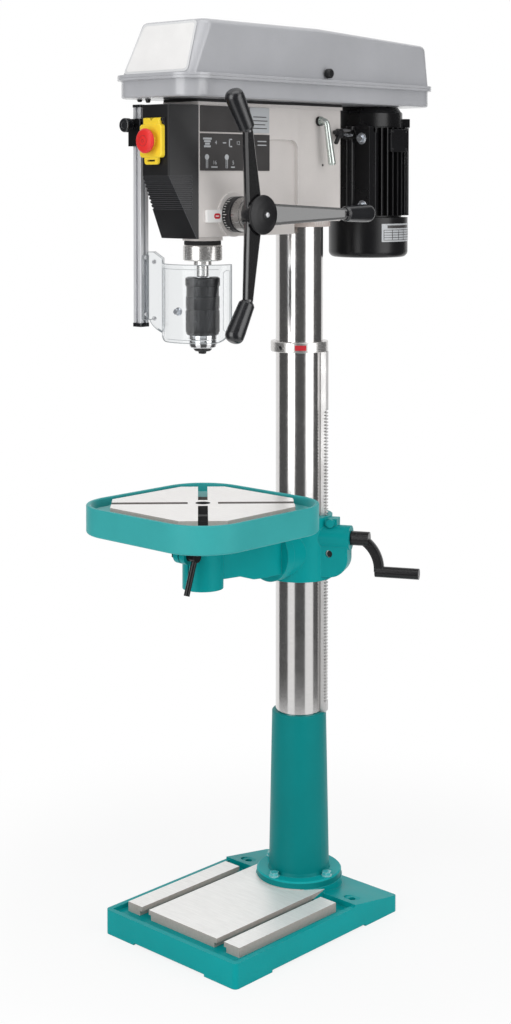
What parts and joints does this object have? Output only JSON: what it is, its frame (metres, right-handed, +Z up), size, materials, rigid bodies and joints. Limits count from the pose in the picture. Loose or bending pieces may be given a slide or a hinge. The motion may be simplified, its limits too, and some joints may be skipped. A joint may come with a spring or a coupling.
{
  "type": "pillar drill",
  "caption": "Floor-standing pillar drill with cast base, round column, crank-lifted tilting table, belt-driven head, clear chuck guard and feed handles.",
  "frame": {"origin": "column axis at the floor, midway between the two anchor holes", "axes": "+Z up along the column, the spindle and operator on the -Y side, the feed handles on the +X side"},
  "size_m": [0.407, 0.757, 1.7055],
  "materials": {
    "teal_paint": "satin paint on cast iron",
    "head_paint": "satin light grey paint on cast iron",
    "cover_paint": "satin grey paint on sheet steel",
    "black_paint": "satin black paint",
    "black_plastic": "fine matt black",
    "bright_steel": "ground steel",
    "plain_steel": "machined steel",
    "dark_steel": "blackened steel",
    "chrome": "polished",
    "profile": "clear anodised",
    "cast_aluminium": "machined casting",
    "belt_rubber": "matt",
    "clear_guard": "clear polycarbonate",
    "yellow": "smooth yellow",
    "red": "smooth red",
    "green": "smooth green"
  },
  "bodies": {
    "frame": {"base_plate": "teal_paint", "column_support": "teal_paint", "frame_bolts": "plain_steel", "column_tube": "bright_steel", "rack_collar": "bright_steel", "head_casting": "head_paint", "front_cover": "black_plastic", "switch_box": "black_plastic", "belt_pan": "cover_paint", "spring_cap": "black_paint", "return_spring": "plain_steel", "feed_bush": "black_plastic", "guard_bracket": "plain_steel", "pulley_bearings": "plain_steel", "drive_belts": "belt_rubber"},
    "lid": {"belt_cover": "cover_paint"},
    "lid_knob": {"cover_knob": "black_plastic"},
    "quill": {"quill_sleeve": "bright_steel", "quill_bearings": "plain_steel"},
    "spindle": {"spindle_shaft": "bright_steel", "chuck_body": "chrome"},
    "chuck_ring": {"chuck_sleeve": "dark_steel"},
    "jaw_1": {"chuck_jaw_1": "plain_steel"},
    "jaw_2": {"chuck_jaw_2": "plain_steel"},
    "jaw_3": {"chuck_jaw_3": "plain_steel"},
    "front_pulley": {"spindle_pulley": "cast_aluminium"},
    "feed": {"pinion_shaft": "bright_steel", "feed_hub": "black_paint", "handle_grips": "black_plastic", "hub_cap": "black_plastic"},
    "depth": {"depth_ring": "chrome"},
    "idler_crank": {"idler_arm": "plain_steel"},
    "idler": {"idler_pulley": "cast_aluminium"},
    "motor": {"motor_body": "black_paint", "motor_fan_cover": "black_paint", "motor_plate": "black_paint", "slide_bars": "bright_steel"},
    "rotor": {"motor_rotor": "plain_steel", "motor_pulley": "cast_aluminium"},
    "tension": {"tension_lever": "chrome"},
    "motor_lock": {"slide_lock": "black_plastic"},
    "swing": {"column_rack": "plain_steel"},
    "lift": {"table_bracket": "teal_paint", "tilt_bolt": "plain_steel"},
    "lift_gear": {"lift_pinion": "plain_steel"},
    "crank": {"worm_shaft": "plain_steel", "crank_handle": "black_paint"},
    "column_clamp": {"bracket_lock": "black_paint"},
    "arm": {"table_arm": "teal_paint"},
    "table": {"drill_table": "teal_paint"},
    "table_clamp": {"table_lock": "black_paint"},
    "guard_hinge": {"guard_holder": "black_paint"},
    "guard": {"guard_post": "profile", "post_caps": "black_plastic", "guard_shield": "clear_guard"},
    "guard_clamp": {"guard_knob": "black_plastic"},
    "flap": {"switch_flap": "yellow"},
    "mushroom": {"stop_mushroom": "red"},
    "start": {"start_button": "green"},
    "stop": {"stop_button": "red"}
  },
  "joints": [
    {"name": "lid_hinge", "type": "hinge", "parent": "frame", "child": "lid", "pos_m": [-0.116, 0, 1.60025], "axis": [0, -1, 0], "range_deg": [0, 100]},
    {"name": "lid_knob_turn", "type": "hinge", "parent": "lid", "child": "lid_knob", "pos_m": [0.09, -0.026, 1.6208], "axis": [1, 0, 0], "range_deg": [0, 90]},
    {"name": "quill_feed", "type": "slide", "parent": "frame", "child": "quill", "axis": [0, 0, -1], "range_m": [0, 0.08], "stiffness_N_per_m": 400, "springref_m": -0.3},
    {"name": "feed_turn", "type": "hinge", "parent": "frame", "child": "feed", "pos_m": [0, -0.2345, 1.357], "axis": [1, 0, 0], "range_deg": [0, 440]},
    {"name": "depth_ring_turn", "type": "hinge", "parent": "feed", "child": "depth", "pos_m": [0, -0.2345, 1.357], "axis": [1, 0, 0], "range_deg": [-150, 150]},
    {"name": "spindle_spin", "type": "hinge", "parent": "quill", "child": "spindle", "pos_m": [0, -0.267, 1.3], "axis": [0, 0, 1], "continuous": true},
    {"name": "front_pulley_spin", "type": "hinge", "parent": "frame", "child": "front_pulley", "pos_m": [0, -0.267, 1.6], "axis": [0, 0, 1], "continuous": true},
    {"name": "idler_spin", "type": "hinge", "parent": "idler_crank", "child": "idler", "pos_m": [0, -0.036, 1.6], "axis": [0, 0, 1], "continuous": true},
    {"name": "motor_spin", "type": "hinge", "parent": "motor", "child": "rotor", "pos_m": [0, 0.21, 1.45], "axis": [0, 0, 1], "continuous": true},
    {"name": "chuck_turn", "type": "hinge", "parent": "spindle", "child": "chuck_ring", "pos_m": [0, -0.267, 1.19], "axis": [0, 0, 1], "range_deg": [0, 540]},
    {"name": "jaw_1_slide", "type": "slide", "parent": "spindle", "child": "jaw_1", "axis": [0, 0.2588, 0.9659], "range_m": [0, 0.01]},
    {"name": "jaw_2_slide", "type": "slide", "parent": "spindle", "child": "jaw_2", "axis": [-0.2241, -0.1294, 0.9659], "range_m": [0, 0.01]},
    {"name": "jaw_3_slide", "type": "slide", "parent": "spindle", "child": "jaw_3", "axis": [0.2241, -0.1294, 0.9659], "range_m": [0, 0.01]},
    {"name": "table_swing", "type": "hinge", "parent": "frame", "child": "swing", "pos_m": [0, 0, 0.7], "axis": [0, 0, 1], "continuous": true},
    {"name": "table_lift", "type": "slide", "parent": "swing", "child": "lift", "axis": [0, 0, 1], "range_m": [-0.25, 0.1]},
    {"name": "lift_pinion_turn", "type": "hinge", "parent": "lift", "child": "lift_gear", "pos_m": [0.06103, 0.0311, 0.6995], "axis": [0.454, -0.891, 0], "continuous": true},
    {"name": "crank_turn", "type": "hinge", "parent": "lift", "child": "crank", "pos_m": [0.00908, -0.01782, 0.7295], "axis": [0.891, 0.454, 0], "continuous": true},
    {"name": "table_tilt", "type": "hinge", "parent": "lift", "child": "arm", "pos_m": [0, -0.073, 0.703], "axis": [0, 1, 0], "range_deg": [-45, 45]},
    {"name": "table_swivel", "type": "hinge", "parent": "arm", "child": "table", "pos_m": [0, -0.267, 0.75], "axis": [0, 0, 1], "continuous": true},
    {"name": "table_clamp_turn", "type": "hinge", "parent": "arm", "child": "table_clamp", "pos_m": [0, -0.315, 0.736], "axis": [1, 0, 0], "range_deg": [-60, 0]},
    {"name": "column_clamp_turn", "type": "hinge", "parent": "lift", "child": "column_clamp", "pos_m": [-0.077, 0, 0.709], "axis": [0, 1, 0], "range_deg": [0, 90]},
    {"name": "motor_slide", "type": "slide", "parent": "frame", "child": "motor", "axis": [0, 1, 0], "range_m": [-0.02, 0], "deforming": ["drive_belts"]},
    {"name": "tension_lever_turn", "type": "hinge", "parent": "frame", "child": "tension", "pos_m": [0.055, -0.007, 1.532], "axis": [1, 0, 0], "range_deg": [-96, 0]},
    {"name": "motor_lock_turn", "type": "hinge", "parent": "frame", "child": "motor_lock", "pos_m": [0.055, 0.047, 1.51], "axis": [1, 0, 0], "range_deg": [-90, 90]},
    {"name": "idler_swing", "type": "hinge", "parent": "frame", "child": "idler_crank", "pos_m": [-0.03, -0.08, 1.57], "axis": [0, 0, 1], "range_deg": [-10, 10], "deforming": ["drive_belts"]},
    {"name": "guard_swing", "type": "hinge", "parent": "frame", "child": "guard_hinge", "pos_m": [-0.063, -0.316, 1.506], "axis": [0, 0, 1], "range_deg": [-100, 0]},
    {"name": "guard_height", "type": "slide", "parent": "guard_hinge", "child": "guard", "axis": [0, 0, 1], "range_m": [-0.02, 0.004]},
    {"name": "guard_clamp_turn", "type": "hinge", "parent": "guard_hinge", "child": "guard_clamp", "pos_m": [-0.0816, -0.362, 1.519], "axis": [0, 1, 0], "range_deg": [-180, 180]},
    {"name": "flap_hinge", "type": "hinge", "parent": "frame", "child": "flap", "pos_m": [0, -0.3903, 1.527], "axis": [-1, 0, 0], "range_deg": [0, 100]},
    {"name": "mushroom_push", "type": "slide", "parent": "flap", "child": "mushroom", "axis": [0, 1, 0], "range_m": [0, 0.003], "stiffness_N_per_m": 900, "springref_m": -0.003},
    {"name": "start_push", "type": "slide", "parent": "frame", "child": "start", "axis": [0, 1, 0], "range_m": [0, 0.0015], "stiffness_N_per_m": 900, "springref_m": -0.002},
    {"name": "stop_push", "type": "slide", "parent": "frame", "child": "stop", "axis": [0, 1, 0], "range_m": [0, 0.0015], "stiffness_N_per_m": 900, "springref_m": -0.002}
  ],
  "couplings": [
    {"joint": "feed_turn", "follows": "quill_feed", "rad_per_m": 95.238},
    {"joint": "front_pulley_spin", "follows": "spindle_spin", "ratio": 1},
    {"joint": "idler_spin", "follows": "spindle_spin", "ratio": 1.2162},
    {"joint": "motor_spin", "follows": "spindle_spin", "ratio": 2.027},
    {"joint": "lift_pinion_turn", "follows": "table_lift", "rad_per_m": 71.429},
    {"joint": "crank_turn", "follows": "table_lift", "rad_per_m": 1571.4},
    {"joint": "tension_lever_turn", "follows": "motor_slide", "rad_per_m": 83.333},
    {"joint": "jaw_1_slide", "follows": "chuck_turn", "m_per_rad": 0.00106},
    {"joint": "jaw_2_slide", "follows": "chuck_turn", "m_per_rad": 0.00106},
    {"joint": "jaw_3_slide", "follows": "chuck_turn", "m_per_rad": 0.00106}
  ]
}
